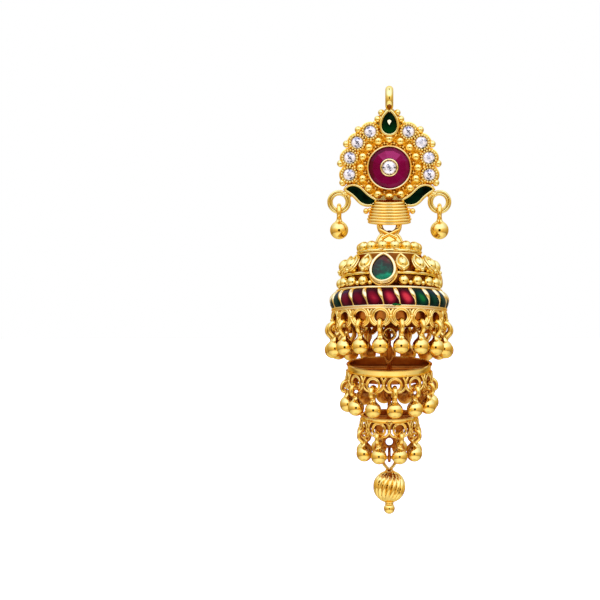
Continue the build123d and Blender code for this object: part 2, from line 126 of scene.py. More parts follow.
def runThrough(points, closed=False, steps=6, corners=()):   # a smooth line, sharp at the corners
    points = [Vector(point) for point in points]
    count = len(points)
    slopes = []
    for index, point in enumerate(points):
        before = points[index - 1] if index or closed else point
        after = points[(index + 1) % count] if index < count - 1 or closed else point
        slopes.append((after - before) / 2)
    line = []
    for index in range(count if closed else count - 1):
        start, end = points[index], points[(index + 1) % count]
        leave = (end - start) if index in corners else slopes[index]
        arrive = (end - start) if (index + 1) % count in corners else slopes[(index + 1) % count]
        for step in range(steps):
            t = step / steps
            line.append(
                start * (2 * t**3 - 3 * t**2 + 1) + leave * (t**3 - 2 * t**2 + t)
                + end * (3 * t**2 - 2 * t**3) + arrive * (t**3 - t**2)
            )
    return line if closed else line + [points[-1]]


def wireLine(points, wire, closed=False, sides=2, radii=None):   # round wire along a line
    curve = bpy.data.curves.new("wire", "CURVE")
    curve.dimensions = "3D"
    curve.bevel_depth = wire * mm
    curve.bevel_resolution = sides
    curve.use_fill_caps = not closed
    spline = curve.splines.new("POLY")
    spline.points.add(len(points) - 1)
    for index, (point, place) in enumerate(zip(spline.points, points)):
        point.co = (place[0] * mm, place[1] * mm, place[2] * mm, 1)
        point.radius = radii[index] if radii else 1
    spline.use_cyclic_u = closed
    holder = bpy.data.objects.new("wire", curve)
    mesh = bpy.data.meshes.new_from_object(holder)
    shape = bmesh.new()
    shape.from_mesh(mesh)
    bpy.data.objects.remove(holder)
    bpy.data.curves.remove(curve)
    bpy.data.meshes.remove(mesh)
    bmesh.ops.remove_doubles(shape, verts=shape.verts, dist=1e-7)
    return shape


def slab(outline, bottom, top, rounds=()):   # a flat shape raised, its top drawn in by (inset, rise) steps
    shape = bmesh.new()
    face = shape.faces.new([shape.verts.new((x * mm, y * mm, bottom * mm)) for x, y, *_ in outline])
    if face.normal.z < 0 or face.calc_area() and sum(
        (a.co.x * b.co.y - b.co.x * a.co.y) for a, b in zip(face.verts[:], face.verts[1:] + face.verts[:1])
    ) < 0:
        bmesh.ops.reverse_faces(shape, faces=[face])
    made = bmesh.ops.extrude_face_region(shape, geom=[face])["geom"]
    bmesh.ops.translate(
        shape, verts=[v for v in made if isinstance(v, bmesh.types.BMVert)], vec=(0, 0, (top - bottom) * mm)
    )
    lid = [f for f in made if isinstance(f, bmesh.types.BMFace)]
    for inset, rise in rounds:
        bmesh.ops.inset_region(shape, faces=lid, thickness=inset * mm, depth=rise * mm, use_even_offset=True)
    bmesh.ops.recalc_face_normals(shape, faces=shape.faces)
    return shape


def gem(rings):   # rings of (points, height), closed by their outer hull into flat facets
    shape = bmesh.new()
    for points, height in rings:
        for x, y in points:
            shape.verts.new((x * mm, y * mm, height * mm))
    made = bmesh.ops.convex_hull(shape, input=shape.verts)
    loose = [v for v in made["geom_interior"] if isinstance(v, bmesh.types.BMVert)]
    bmesh.ops.delete(shape, geom=loose, context="VERTS")
    bmesh.ops.dissolve_limit(shape, angle_limit=radians(2), verts=shape.verts, edges=shape.edges)
    bmesh.ops.recalc_face_normals(shape, faces=shape.faces)
    return shape


def circlePoints(radius, count, phase=0.0):
    return [
        (radius * cos(2 * pi * (i + phase) / count), radius * sin(2 * pi * (i + phase) / count))
        for i in range(count)
    ]


def pearPoints(width, height, steps=9):   # a half circle under a pointed arch
    half, rise = width / 2, height - width / 2
    side = (half**2 + rise**2) / width
    sweep = asin(rise / side)
    arch = [
        (half - side + side * cos(sweep * i / steps), side * sin(sweep * i / steps)) for i in range(steps)
    ]
    bowl = [(half * cos(pi * i / steps), -half * sin(pi * i / steps)) for i in range(steps - 1, 0, -1)]
    return arch + [(0, rise)] + [(-x, y) for x, y in reversed(arch)] + bowl


def stamp(piece, shape, places=(upright,), finish=0):   # adds a shape to a piece at each place
    mould = bpy.data.meshes.new("mould")
    for face in shape.faces:
        face.material_index = finish
    shape.to_mesh(mould)
    shape.free()
    for place in places:
        copy = mould.copy()
        copy.transform(place)
        if place.determinant() < 0:
            copy.flip_normals()
        piece.from_mesh(copy)
        bpy.data.meshes.remove(copy)
    bpy.data.meshes.remove(mould)


def finishPiece(name, piece, body, finishes, place=upright, stands=(), sharp=50, slot="gold"):
    bmesh.ops.transform(piece, matrix=place, verts=piece.verts)
    mesh = bpy.data.meshes.new(name)
    piece.to_mesh(mesh)
    piece.free()
    made = bpy.data.objects.new(name, mesh)
    bpy.context.scene.collection.objects.link(made)
    for finish in finishes:
        mesh.materials.append(finish)
    mesh.shade_smooth()
    mesh.set_sharp_from_angle(angle=radians(sharp))
    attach(made, body)
    if stands:
        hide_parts(*stands)
    return made


# --- Finishes ---
class Worth:   # wraps a socket so that shader maths reads as an expression
    def __init__(self, recipe, socket):
        self.recipe, self.socket = recipe, socket

    def maths(self, operation, *values):
        node = self.recipe.add("Math", {"operation": operation}, dict(enumerate(values)))
        return Worth(self.recipe, node.outputs[0])

    def __add__(self, other):
        return self.maths("ADD", self, other)

    def __radd__(self, other):
        return self.maths("ADD", other, self)

    def __sub__(self, other):
        return self.maths("SUBTRACT", self, other)

    def __rsub__(self, other):
        return self.maths("SUBTRACT", other, self)

    def __mul__(self, other):
        return self.maths("MULTIPLY", self, other)

    def __rmul__(self, other):
        return self.maths("MULTIPLY", other, self)


class Recipe:   # one material and the nodes added to it
    def __init__(self, name):
        self.material = bpy.data.materials.new(name)
        self.material.use_nodes = True
        self.tree = self.material.node_tree
        self.shader = self.tree.nodes["Principled BSDF"]
        self.place = self.add("TexCoord").outputs["Object"]

    def add(self, kind, settings=None, values=None):
        node = self.tree.nodes.new("ShaderNode" + kind)
        for name, value in (settings or {}).items():
            if name == "stops":
                for index, (spot, colour) in enumerate(value):
                    stop = node.color_ramp.elements[index] if index < 2 else node.color_ramp.elements.new(spot)
                    stop.position, stop.color = spot, (*colour, 1)
            else:
                setattr(node, name, value)
        self.feed(node, values or {})
        return node

    def feed(self, node, values):
        for name, value in values.items():
            value = value.socket if isinstance(value, Worth) else value
            if isinstance(value, bpy.types.NodeSocket):
                self.tree.links.new(value, node.inputs[name])
            else:
                node.inputs[name].default_value = value

    def noise(self, scale, detail=2.0, rough=0.5, place=None, twist=0.0):
        node = self.add(
            "TexNoise", None,
            {"Vector": place or self.place, "Scale": scale, "Detail": detail, "Roughness": rough, "Distortion": twist},
        )
        return Worth(self, node.outputs["Fac"])

    def span(self, value, low, high, start=0.0, end=1.0):
        node = self.add("MapRange", None, {"Value": value, 1: low, 2: high, 3: start, 4: end})
        return Worth(self, node.outputs["Result"])

    def blend(self, share, first, second):
        node = self.add("Mix", {"data_type": "RGBA"}, {0: share, 6: first, 7: second})
        return node.outputs[2]

    def bump(self, height, strength, distance):
        node = self.add("Bump", None, {"Height": height, "Strength": strength, "Distance": distance * mm})
        return node.outputs["Normal"]

    def moved(self, turned=(0, 0, 0), stretch=(1, 1, 1)):
        turned = [radians(angle) for angle in turned]
        node = self.add("Mapping", None, {"Vector": self.place, "Rotation": turned, "Scale": stretch})
        return node.outputs["Vector"]

    def inward(self, axis):   # 1 where a face looks in at the upright line at that depth
        x, y, _ = self.add("SeparateXYZ", None, {0: self.place}).outputs
        faceX, faceY, _ = self.add("SeparateXYZ", None, {0: self.add("NewGeometry").outputs["Normal"]}).outputs
        x, y = Worth(self, x), Worth(self, y) - axis * mm
        outward = x * Worth(self, faceX) + y * Worth(self, faceY)
        square = x * x + y * y
        outward = outward.maths("DIVIDE", outward, square.maths("SQRT", square))
        return self.span(outward, -0.05, -0.5)

    def set(self, **values):
        names = {name.replace("_", " "): value for name, value in values.items()}
        self.feed(self.shader, names)
        return self.material


def metal(name, bright, patch, creviceShade, roughness, grain, crevice=0.3, edge=(1.0, 0.78, 0.36), axis=None):
    recipe = Recipe(name)
    patches = recipe.noise(420, 3)
    dents = recipe.noise(1500, 3)
    # painted shade: crevices found by ambient occlusion turn to the darker crevice colour and get rougher
    shade = recipe.add("AmbientOcclusion", {"samples": 6}, {"Distance": crevice * mm})
    open_ = recipe.span(Worth(recipe, shade.outputs["AO"]), 0.1, 0.6)
    rough = roughness + recipe.span(patches, 0.3, 0.7, -0.03, 0.04) + (1 - open_) * 0.12
    colour = recipe.blend(recipe.span(patches, 0.35, 0.7), (*bright, 1), (*patch, 1))
    colour = recipe.blend(open_, (*creviceShade, 1), colour)
    if axis is not None:   # faces that look in at the tier's axis get painted shade, a darker colour, and are made rougher
        inward = recipe.inward(axis)
        colour = recipe.blend(inward, colour, (0.7, 0.29, 0.04, 1))
        rough = rough + inward * 0.25
    return recipe.set(
        Base_Color=colour, Metallic=1.0, Roughness=rough, Specular_Tint=(*edge, 1), Normal=recipe.bump(dents, grain, 0.06)
    )


def enamel(name, dark, body, highlight, tint):   # darker towards the cell edges, with a painted highlight colour where the attribute middle is high
    recipe = Recipe(name)
    clouds = recipe.noise(900, 4)
    middle = Worth(recipe, recipe.add("Attribute", {"attribute_name": "middle"}).outputs["Fac"])
    colour = recipe.blend(recipe.span(middle + clouds * 0.5, 0.35, 0.95), (*dark, 1), (*body, 1))
    colour = recipe.blend(recipe.span(middle + clouds * 0.4, 0.9, 1.4), colour, (*highlight, 1))
    return recipe.set(
        Base_Color=colour, Roughness=0.3 + clouds * 0.1, Specular_IOR_Level=0.05, Specular_Tint=(*tint, 1),
        Normal=recipe.bump(clouds, 0.3, 0.12),
    )


# bright colour, patch colour, painted crevice shade colour, roughness, grain
polish = ((1.0, 0.69, 0.15), (0.98, 0.62, 0.105), (0.68, 0.3, 0.035), 0.1, 0.1)
gold = metal("polishedGold", *polish)
plateGold = metal("plateGold", (1.0, 0.76, 0.2), (0.99, 0.7, 0.15), (0.62, 0.32, 0.035), 0.1, 0.12)
grainedGold = metal("grainedGold", (0.95, 0.74, 0.22), (0.85, 0.6, 0.13), (0.55, 0.3, 0.035), 0.36, 1.0, 0.3)
# copies of the polished gold with painted shade on the faces that look in at each crown's axis
domeGold = metal("domeGold", *polish, axis=-4.0)
tierTwoGold = metal("tierTwoGold", *polish, axis=-4.8)
tierThreeGold = metal("tierThreeGold", *polish, axis=-3.4)
# painted highlight: a paler, brighter copy of the gold for lips, bezels and wires that catch the light
highlightGold = metal("paintedHighlightGold", (1.0, 0.74, 0.27), (1.0, 0.7, 0.2), (0.8, 0.42, 0.08), 0.16, 0.1)
# painted shade: two dark copies of the gold for cores, backings, linings and insides that lie in shade
darkShadeGold = metal("deepShadeGold", (0.34, 0.1, 0.01), (0.24, 0.055, 0.005), (0.15, 0.03, 0.003), 0.36, 0.3, 1.2, (0.5, 0.2, 0.04))
shadedGold = metal("shadedGold", (0.6, 0.2, 0.025), (0.42, 0.12, 0.012), (0.25, 0.06, 0.006), 0.35, 0.5, 0.8, (0.6, 0.25, 0.05))

greenEnamel = enamel("greenEnamel", (0.001, 0.008, 0.004), (0.002, 0.03, 0.012), (0.006, 0.12, 0.016), (0.35, 1.0, 0.2))
redEnamel = enamel("redEnamel", (0.03, 0.001, 0.003), (0.15, 0.003, 0.012), (0.45, 0.025, 0.035), (1.0, 0.3, 0.1))


def inlayEnamel():   # brighter low down on the drop inlay, dark elsewhere
    recipe = Recipe("inlayEnamel")
    clouds = recipe.noise(600, 3)
    rise = Worth(recipe, recipe.add("SeparateXYZ", None, {0: recipe.place}).outputs[2])
    low = recipe.span(rise, 0.0076, 0.0058) * recipe.span(rise, 0.0, 0.002)
    colour = recipe.blend(recipe.span(clouds, 0.35, 0.65), (0.0006, 0.001, 0.0006, 1), (0.0008, 0.009, 0.003, 1))
    colour = recipe.blend(low * recipe.span(clouds, 0.3, 0.55), colour, (0.001, 0.028, 0.004, 1))
    return recipe.set(
        Base_Color=colour, Roughness=0.2, Specular_IOR_Level=0.05, Specular_Tint=(0.4, 1.0, 0.2, 1),
        Normal=recipe.bump(clouds, 0.2, 0.1),
    )


inlayGreen = inlayEnamel()
print("metal and enamel ready")


def facetLight(recipe):
    return Worth(recipe, recipe.add("Attribute", {"attribute_name": "light"}).outputs["Fac"])


def rubyFinish():
    recipe = Recipe("rubyStone")
    veins = recipe.noise(380, 4, 0.6, recipe.moved((20, 35, 0), (1, 1, 3)), 0.6)
    # painted facet highlights and shade: a facet's light attribute makes it a darker or lighter red, with veins
    level = facetLight(recipe) + recipe.span(veins, 0.3, 0.7, -0.1, 0.1)
    colour = recipe.blend(recipe.span(level, 0.0, 0.5), (0.07, 0.0006, 0.004, 1), (0.15, 0.001, 0.024, 1))
    colour = recipe.blend(recipe.span(level, 0.5, 1.0), colour, (0.27, 0.022, 0.085, 1))
    return recipe.set(Base_Color=colour, Roughness=0.12, Specular_IOR_Level=0.2, Specular_Tint=(1.0, 0.5, 0.7, 1))


rubyStone = rubyFinish()


def emeraldFinish():   # dark with a reddish hint above, clear green below, streaked
    recipe = Recipe("emeraldStone")
    rise = recipe.add("SeparateXYZ", None, {0: recipe.place}).outputs[2]
    streaks = recipe.noise(420, 3, 0.6, recipe.moved((0, 38, 0), (1, 1, 3.2)), 0.4)
    fine = recipe.noise(1500, 3)
    level = recipe.span(Worth(recipe, rise), -0.0179, -0.0142) + streaks * 1.1 - 0.5
    colour = recipe.blend(recipe.span(level, 0.0, 0.3), (0.01, 0.24, 0.11, 1), (0.006, 0.06, 0.032, 1))
    colour = recipe.blend(recipe.span(level, 0.25, 0.5), colour, (0.022, 0.022, 0.018, 1))
    colour = recipe.blend(recipe.span(level, 0.72, 1.0, 0, 0.8), colour, (0.1, 0.014, 0.014, 1))
    colour = recipe.blend(recipe.span(fine, 0.5, 0.75, 0, 0.4), colour, (0.02, 0.16, 0.09, 1))
    return recipe.set(Base_Color=colour, Roughness=0.12, Specular_IOR_Level=0.16, Specular_Tint=(0.8, 1.0, 0.4, 1))


emeraldStone = emeraldFinish()


def zirconFinish():
    recipe = Recipe("clearStone")
    # painted sparkle: dark and light facets set by the light attribute
    dark, light = (0.1, 0.085, 0.08, 1), (0.8, 0.74, 0.66, 1)
    colour = recipe.blend(recipe.span(facetLight(recipe), 0.3, 0.75), dark, light)
    return recipe.set(Base_Color=colour, Metallic=0.4, Roughness=0.08)


clearStone = zirconFinish()
print("stones ready")


# --- Head plate ---
plate = {
    "disc": 5.35, "discThick": 0.5, "backing": 7.3,
    "lip": ((3.36, 0.5), (3.37, 1.78), (3.43, 1.92), (3.54, 1.96), (3.66, 1.86), (3.73, 1.55), (3.78, 1.0), (3.85, 0.4)),
    "collet": ((1.2, 0.9), (1.21, 1.9), (1.26, 2.05), (1.35, 2.13), (1.45, 2.1), (1.52, 1.95), (1.56, 1.6), (1.58, 0.6)),
    "granules": 16, "granuleRing": 4.7, "granule": 0.76, "granuleHeight": 1.0,
    "granuleSeats": ((0.62, 0.26, 20, 0, 0.66), (0.95, 0.15, 24, 0.12, 0.72)),
    "grains": 0.36, "grainRing": 5.46, "sprinkle": ((4.0, 0.0, 0.17), (5.62, 0.25, 0.2), (6.0, 0.75, 0.18)),
    "innerGrain": 0.2, "innerGrainRing": 4.02,
    "zirconAngles": (62, 38, 14, -10), "zirconRing": 6.65, "zircon": 1.02,
    "cup": ((1.0, 0.5), (1.01, 1.5), (1.06, 1.62), (1.16, 1.62), (1.3, 1.45), (1.4, 1.0), (1.44, 0.5), (1.5, 0.42), (1.54, 0.1)),
    "milgrain": 17, "milgrainRing": 1.22, "milgrainBall": 0.2, "milgrainHeight": 1.58,
    "edgeAngles": (50.7, 28.9, 4.8, -18), "edgeRing": 7.98, "edgeBall": 0.6, "edgeInner": 7.32, "edgeInnerBall": 0.4,
    "topBalls": ((1.3, 8.98, 0.55), (1.85, 7.9, 0.6), (1.42, 8.05, 0.4), (0.95, 8.75, 0.34), (1.95, 5.75, 0.4), (2.3, 7.35, 0.36)),
    "neckGrains": ((0.0, -5.35, 0.34), (0.8, -5.3, 0.34), (1.55, -5.15, 0.34), (2.2, -5.45, 0.3), (2.75, -5.0, 0.3)),
    "neck": ((-2.3, -4.6), (2.3, -4.6), (2.4, -5.7), (-2.4, -5.7)), "sweep": range(-25, 206, 10),
    "crest": ((-2.1, 5.0), (2.1, 5.0), (2.2, 6.6), (1.6, 8.6), (0.6, 9.6), (-0.6, 9.6), (-1.6, 8.6), (-2.2, 6.6)),
}
dropInlay = {"centre": 6.75, "width": 2.47, "height": 3.5, "lip": 0.2, "front": 1.75}
leafInlay = {
    "upper": ((7.1, -3.5), (6.5, -3.14), (5.85, -3.04), (5.15, -3.2), (4.5, -3.7), (3.8, -4.38), (3.05, -4.95)),
    "lower": ((2.34, -5.33), (2.75, -5.8), (3.4, -5.97), (4.15, -5.84), (4.8, -5.42), (5.45, -4.72), (6.2, -4.1)),
    "lip": 0.18, "front": 1.4,
}
leafLine = runThrough(
    [(x, z, 0) for x, z in leafInlay["upper"] + leafInlay["lower"]], closed=True, steps=4, corners=(0, 7)
)
mirrored = Matrix.Scale(-1, 4, (1, 0, 0))
bothSides = (upright, mirrored)

head = bmesh.new()
disc, thick = plate["disc"], plate["discThick"]
stamp(head, turned([(0, 0.02), (disc, 0.02), (disc, thick), (0, thick)]), [onPlate(0, 0, 0)], 2)
stamp(head, turned([*plate["lip"]]), [onPlate(0, 0, 0)], 3)
stamp(head, turned([*plate["collet"]], 32), [onPlate(0, 0, 0)], 3)


def plateRing(count, radius, height, phase=0.0):
    return [onPlate(*[c for c in circlePoints(radius, count, phase)[i]], height) for i in range(count)]


stamp(head, ball(plate["granule"]), plateRing(plate["granules"], plate["granuleRing"], plate["granuleHeight"]))
for radius, wire, steps, outward, height in plate["granuleSeats"]:
    seats = plateRing(plate["granules"], plate["granuleRing"] + outward, height)
    stamp(head, hoop(radius, wire, steps, 6), seats)
for radius, phase, size in plate["sprinkle"]:
    stamp(head, ball(size, 8, 6), plateRing(plate["granules"] * 2, radius, 0.7, phase))
stamp(head, ball(plate["grains"], 12, 8), plateRing(plate["granules"], plate["grainRing"], 0.75, 0.5))
stamp(head, ball(plate["innerGrain"], 10, 6), plateRing(plate["granules"], plate["innerGrainRing"], 1.0, 0.5))

zirconPlaces = [
    onPlate(side * plate["zirconRing"] * cos(radians(a)), plate["zirconRing"] * sin(radians(a)), 0)
    for side in (1, -1) for a in plate["zirconAngles"]
]
stamp(head, turned([(0, 0.02), (1.6, 0.02), *reversed(plate["cup"])], 28), zirconPlaces)
stamp(head, hoop(1.52, 0.17, 28, 6), [place @ at(0, 0, 0.75) for place in zirconPlaces])
for angle in range(plate["milgrain"]):
    spot = turn(angle * 360 / plate["milgrain"], "Z") @ at(plate["milgrainRing"], 0, plate["milgrainHeight"])
    stamp(head, ball(plate["milgrainBall"], 8, 6), [place @ spot for place in zirconPlaces])
for radius, size in ((plate["edgeRing"], plate["edgeBall"]), (plate["edgeInner"], plate["edgeInnerBall"])):
    stamp(head, ball(size, 16, 10), [
        onPlate(side * radius * cos(radians(a)), radius * sin(radians(a)), 0.85)
        for side in (1, -1) for a in plate["edgeAngles"]
    ])
for x, z, size in plate["topBalls"] + plate["neckGrains"]:
    stamp(head, ball(size, 16, 10), [onPlate(x, z, 0.85), onPlate(-x, z, 0.85)])
behind = [
    (plate["backing"] * cos(radians(a)), plate["backing"] * sin(radians(a))) for a in plate["sweep"]
]
for outline, bottom, top in ((plate["neck"], 0.1, 1.2), (plate["crest"], 0.05, 0.45), (behind, 0.05, 0.4)):
    stamp(head, slab(outline, bottom, top), [onPlate(0, 0, 0)], 2)
finishPiece("plateFrame", head, "head", [plateGold, darkShadeGold, grainedGold, highlightGold], stands=["head_plate"])


def widened(line, gap):   # the outline drawn outwards by a gap
    turning = sum(a.x * b.y - b.x * a.y for a, b in zip(line, line[1:] + line[:1]))
    side = gap if turning > 0 else -gap
    wide = []
    for before, point, after in zip(line[-1:] + line[:-1], line, line[1:] + line[:1]):
        along = (after - before).normalized()
        wide.append(point + Vector((along.y, -along.x, 0)) * side)
    return wide


bezels = bmesh.new()
pearLine = [(x, y, 0) for x, y in pearPoints(dropInlay["width"] + 0.38, dropInlay["height"] + 0.62)]
dropSpot = onPlate(0, dropInlay["centre"], dropInlay["front"])
stamp(bezels, wireLine(pearLine, dropInlay["lip"], True), [dropSpot])
# painted shade: a dark backing behind the drop inlay
stamp(bezels, slab(pearLine, -1.7, -0.35), [dropSpot], 1)
for height, wire in ((-0.3, 0.26), (-0.7, 0.3)):
    stamp(bezels, wireLine(pearLine, wire, True), [dropSpot @ at(0, 0, height)])
leafSpot = onPlate(0, 0, leafInlay["front"])
leafCentre = sum(leafLine, Vector()) / len(leafLine)
rimLine = widened(leafLine, 0.18)
leafPlaces = [side @ leafSpot for side in bothSides]
stamp(bezels, wireLine(rimLine, leafInlay["lip"], True), leafPlaces)
for height, wire in ((-0.25, 0.25), (-0.6, 0.27), (-0.95, 0.27)):
    stamp(bezels, wireLine(rimLine, wire, True), [p @ at(0, 0, height) for p in leafPlaces])
# painted shade: a dark backing behind each leaf inlay
stamp(bezels, slab(rimLine, -1.38, -0.35), leafPlaces, 1)
finishPiece("plateBezels", bezels, "head", [plateGold, darkShadeGold])
print("head plate done")

# --- Rings on the plate: the one above is seen edge-on, the two at the sides face the front ---
topRing = {"height": 11.35, "radius": 1.36, "wire": 0.66, "neck": (0, 9.4, 0.6), "foot": (9.92, 2.35, 0.4)}
sideRing = {"x": 8.2, "z": -5.6, "depth": 0.7, "hang": 1.48, "wires": ((1.72, 0.23, 0.7), (1.28, 0.24, 0.62), (1.5, 0.2, 0.45))}
rings = bmesh.new()
stamp(rings, hoop(topRing["radius"], topRing["wire"], 40, 14), [at(0, -0.9, topRing["height"]) @ turn(90, "Y")])
stamp(rings, ball(topRing["neck"][2], 18, 10), [onPlate(0, topRing["neck"][1], 0.95)])
height, depth, size = topRing["foot"]
# painted shade: the top ring's foot in the dark gold
stamp(rings, ball(size, 18, 10), [onPlate(0, height, depth)], 1)
for radius, wire, height in sideRing["wires"]:
    stamp(rings, hoop(radius, wire, 36), [onPlate(s * sideRing["x"], sideRing["z"], height) for s in (1, -1)])
for x, z, size in ((7.05, -4.25, 0.5), (7.4, -4.3, 0.42), (6.6, -4.6, 0.4)):
    stamp(rings, ball(size, 14, 8), [onPlate(s * x, z, 0.6) for s in (1, -1)])
finishPiece("plateRings", rings, "head", [plateGold, darkShadeGold])

# --- Coiled half pot ---
pot = {
    "y": -2.0, "top": -5.45, "coils": 8, "pitch": 0.456, "narrow": 2.35, "wide": 3.38, "flare": 0.8, "last": 3.28,
    "depth": 0.6, "wire": 0.25, "tilt": 8, "dots": 36, "dot": 0.13,
    "granules": ((3.8, -7.1, 0.48), (3.15, -6.95, 0.42), (2.75, -6.2, 0.34)),
}
coils = bmesh.new()
potTilt = at(0, pot["y"], -6) @ turn(pot["tilt"], "X") @ at(0, -pot["y"], 6)


def potRing(index):
    share = index / (pot["coils"] - 2)
    width = pot["narrow"] + (pot["wide"] - pot["narrow"]) * share ** pot["flare"]
    return (width if share <= 1 else pot["last"]), pot["top"] - (index + 0.5) * pot["pitch"]


for index in range(pot["coils"]):
    width, height = potRing(index)
    oval = [(x, pot["y"] + pot["depth"] * y, height) for x, y in circlePoints(width, 48)]
    stamp(coils, wireLine(oval, pot["wire"], True), [potTilt])
    for x, y in circlePoints(width + 0.1, pot["dots"], index / 2):
        spot = potTilt @ at(x, pot["y"] + pot["depth"] * y, height)
        stamp(coils, ball(pot["dot"] * (1.45 if index > 4 else 1.15), 6, 4), [spot])
wall = [(potRing(index)[0] - 0.12, potRing(index)[1]) for index in range(pot["coils"])]
shell = turned(
    [
        (0, pot["top"] + 0.1), (pot["narrow"] - 0.2, pot["top"] + 0.05), *wall,
        *[(r - 0.4, z) for r, z in reversed(wall)], (0, pot["top"] - 0.6),
    ],
    48,
)
bmesh.ops.scale(shell, vec=(1, pot["depth"], 1), verts=shell.verts)
# painted shade: the shell behind the coils and the hoop below are in the dark gold
stamp(coils, shell, [potTilt @ at(0, pot["y"], 0)], 1)
for x, z, size in pot["granules"]:
    stamp(coils, ball(size, 14, 8), [at(s * x, pot["y"] + 0.5, z) for s in (1, -1)])
stamp(coils, hoop(1.05, 0.33, 24, 8), [at(0, pot["y"], pivots[0].z / mm + 1.05) @ turn(90, "Y")], 1)
finishPiece("coiledPot", coils, "head", [gold, darkShadeGold])
print("rings and pot done")


# --- Stones of the plate ---
rubyCut = {
    "facets": 13, "edge": (3.36, 1.66), "ridge": (2.78, 1.94), "inner": (1.58, 2.08),
    "rimLights": (0.15, 0.3, 0.42, 0.4, 0.32, 0.38, 0.45, 0.3, 0.22, 0.1, 0.0, 0.0, 0.05),   # painted facet lightness, clockwise from the top
    "innerLights": (1.0, 0.95, 0.5, 0.42, 0.4, 0.5, 0.42, 0.45, 0.34, 0.4, 0.3, 0.45, 0.85),
}


def lit(made, lightOf):   # paints light into a stone: every face gets its own lightness of painted highlight or shade, read by the stone finishes
    lights = made.data.attributes.new("light", "FLOAT", "FACE").data
    lights.foreach_set("value", [lightOf(face) for face in made.data.polygons])


def rubyLight(face):
    x, _, z = face.center / mm
    facet = int(atan2(x, z) / (2 * pi) * rubyCut["facets"] + rubyCut["facets"] + 0.5) % rubyCut["facets"]
    return rubyCut["rimLights" if Vector((x, z)).length > 2.75 else "innerLights"][facet]


stone = turned(
    [(rubyCut["inner"][0], 0.95), (rubyCut["edge"][0], 0.95), rubyCut["edge"], rubyCut["ridge"], rubyCut["inner"]],
    rubyCut["facets"], closed=True,
)
rubyPiece = bmesh.new()
stamp(rubyPiece, stone, [onPlate(0, 0, 0) @ turn(90 + 180 / rubyCut["facets"], "Z")])
made = finishPiece("rubyDisc", rubyPiece, "head", [rubyStone], stands=["ruby_disc"], sharp=4, slot="red_stone")
lit(made, rubyLight)


def brilliant(radius):   # a round cut: girdle, crown and table
    return gem([
        (circlePoints(radius, 16), 0.0), (circlePoints(radius, 16), 0.12 * radius),
        (circlePoints(radius * 0.8, 16, 0.5), 0.32 * radius), (circlePoints(radius * 0.56, 8), 0.43 * radius),
        (circlePoints(radius * 0.3, 8, 0.5), 0.47 * radius), (circlePoints(radius * 0.1, 4), 0.485 * radius),
    ])


def glitter(face):   # painted sparkle: a lightness that jumps from facet to facet
    x, _, z = face.center / mm
    return abs(sin(x * 37.7 + z * 61.3)) ** 0.6


zirconSeats = [place @ at(0, 0, 1.25) for place in zirconPlaces]
for name, node, radius, places in (
    ("plateZircons", "plate_zircons", plate["zircon"], zirconSeats),
    ("centreZircon", "centre_zircon", 1.17, [onPlate(0, 0, 1.62)]),
):
    stones = bmesh.new()
    stamp(stones, brilliant(radius), places)
    lit(finishPiece(name, stones, "head", [clearStone], stands=[node], sharp=3, slot="clear_stone"), glitter)

inlay = bmesh.new()
outline = pearPoints(dropInlay["width"] - 0.02, dropInlay["height"])
stamp(inlay, slab(outline, -0.8, -0.32, ((0.12, 0.1), (0.3, 0.08))), [dropSpot])
kite = gem([
    ([(0, -0.5), (0.42, 0.28), (0, 0.62), (-0.42, 0.28)], -0.3),
    ([(0, -0.42), (0.34, 0.26), (0, 0.5), (-0.34, 0.26)], 0.0),
])
stamp(inlay, kite, [dropSpot @ at(0, 0.6, 0) @ turn(-15, "X")], 1)
finishPiece("topInlay", inlay, "head", [inlayGreen, highlightGold], stands=["top_drop"], sharp=20, slot="green_enamel")
for name, side in (("right", upright), ("left", mirrored)):
    leaf = bmesh.new()
    inner = [point * 0.99 + leafCentre * 0.01 for point in leafLine]
    stamp(leaf, slab(inner, -0.8, -0.2, ((0.1, 0.06), (0.15, 0.04))), [side @ leafSpot])
    finishPiece("leafInlay." + name, leaf, "head", [inlayGreen], stands=["leaf_" + name], sharp=25, slot="green_enamel")

post = bmesh.new()
postProfile = (
    (0, 0), (1.6, 0), (1.6, 0.42), (1.5, 0.5), (0.6, 0.5), (0.47, 0.62), (0.45, 0.75), (0.45, 10.1),
    (0.4, 10.32), (0.22, 10.48), (0, 10.5),
)
stamp(post, turned(postProfile, 28), [at(0, 0.04, 0) @ turn(-90, "X")])
finishPiece("earPost", post, "head", [gold], stands=["ear_post"])
print("stones done")


# --- Ball drops, each on the ring that the frame gives it ---
def dropMesh(loop, wire, radius, length, carried):   # hooked at the origin, its loop in the YZ plane
    arc = carried + 0.08 - loop + wire
    shape = bmesh.new()
    low = arc - length + radius
    half = [
        (0.1, low - 0.25), (0.12, low + 0.3), (0.3, low + 0.75), (loop * 0.86, arc - loop * 0.6), (loop, arc),
        (loop * 0.72, arc + loop * 0.7),
    ]
    line = runThrough([(0, -y, z) for y, z in half] + [(0, 0, arc + loop)] + [(0, y, z) for y, z in reversed(half)], steps=4)
    stamp(shape, wireLine(line, wire))
    stamp(shape, turned([(0.36, 0.9), (0.39, 0.5), (0.45, 0.2), (0.55, 0.0), (0.76, -0.22)], 20), [at(0, 0, low)])
    stamp(shape, ball(radius, 32, 20), [at(0, 0, arc - length)])
    return shape


def hangDrops(name, body, place, row, sizes, finish, node):   # one drop in each ring of a row
    for index in range(row["count"]):
        azimuth = (index + row["phase"]) * 360 / row["count"]
        hook = (place @ around(row["row"], azimuth, row["height"]) @ at(0, -row["radius"], 0)).translation
        spot = Matrix.Translation(hook) @ turn(azimuth, "Z")
        number = f"{index + 1:02d}"
        finishPiece(f"{name}.{number}", dropMesh(**sizes), body, [finish], spot, [f"{node}_{number}"])


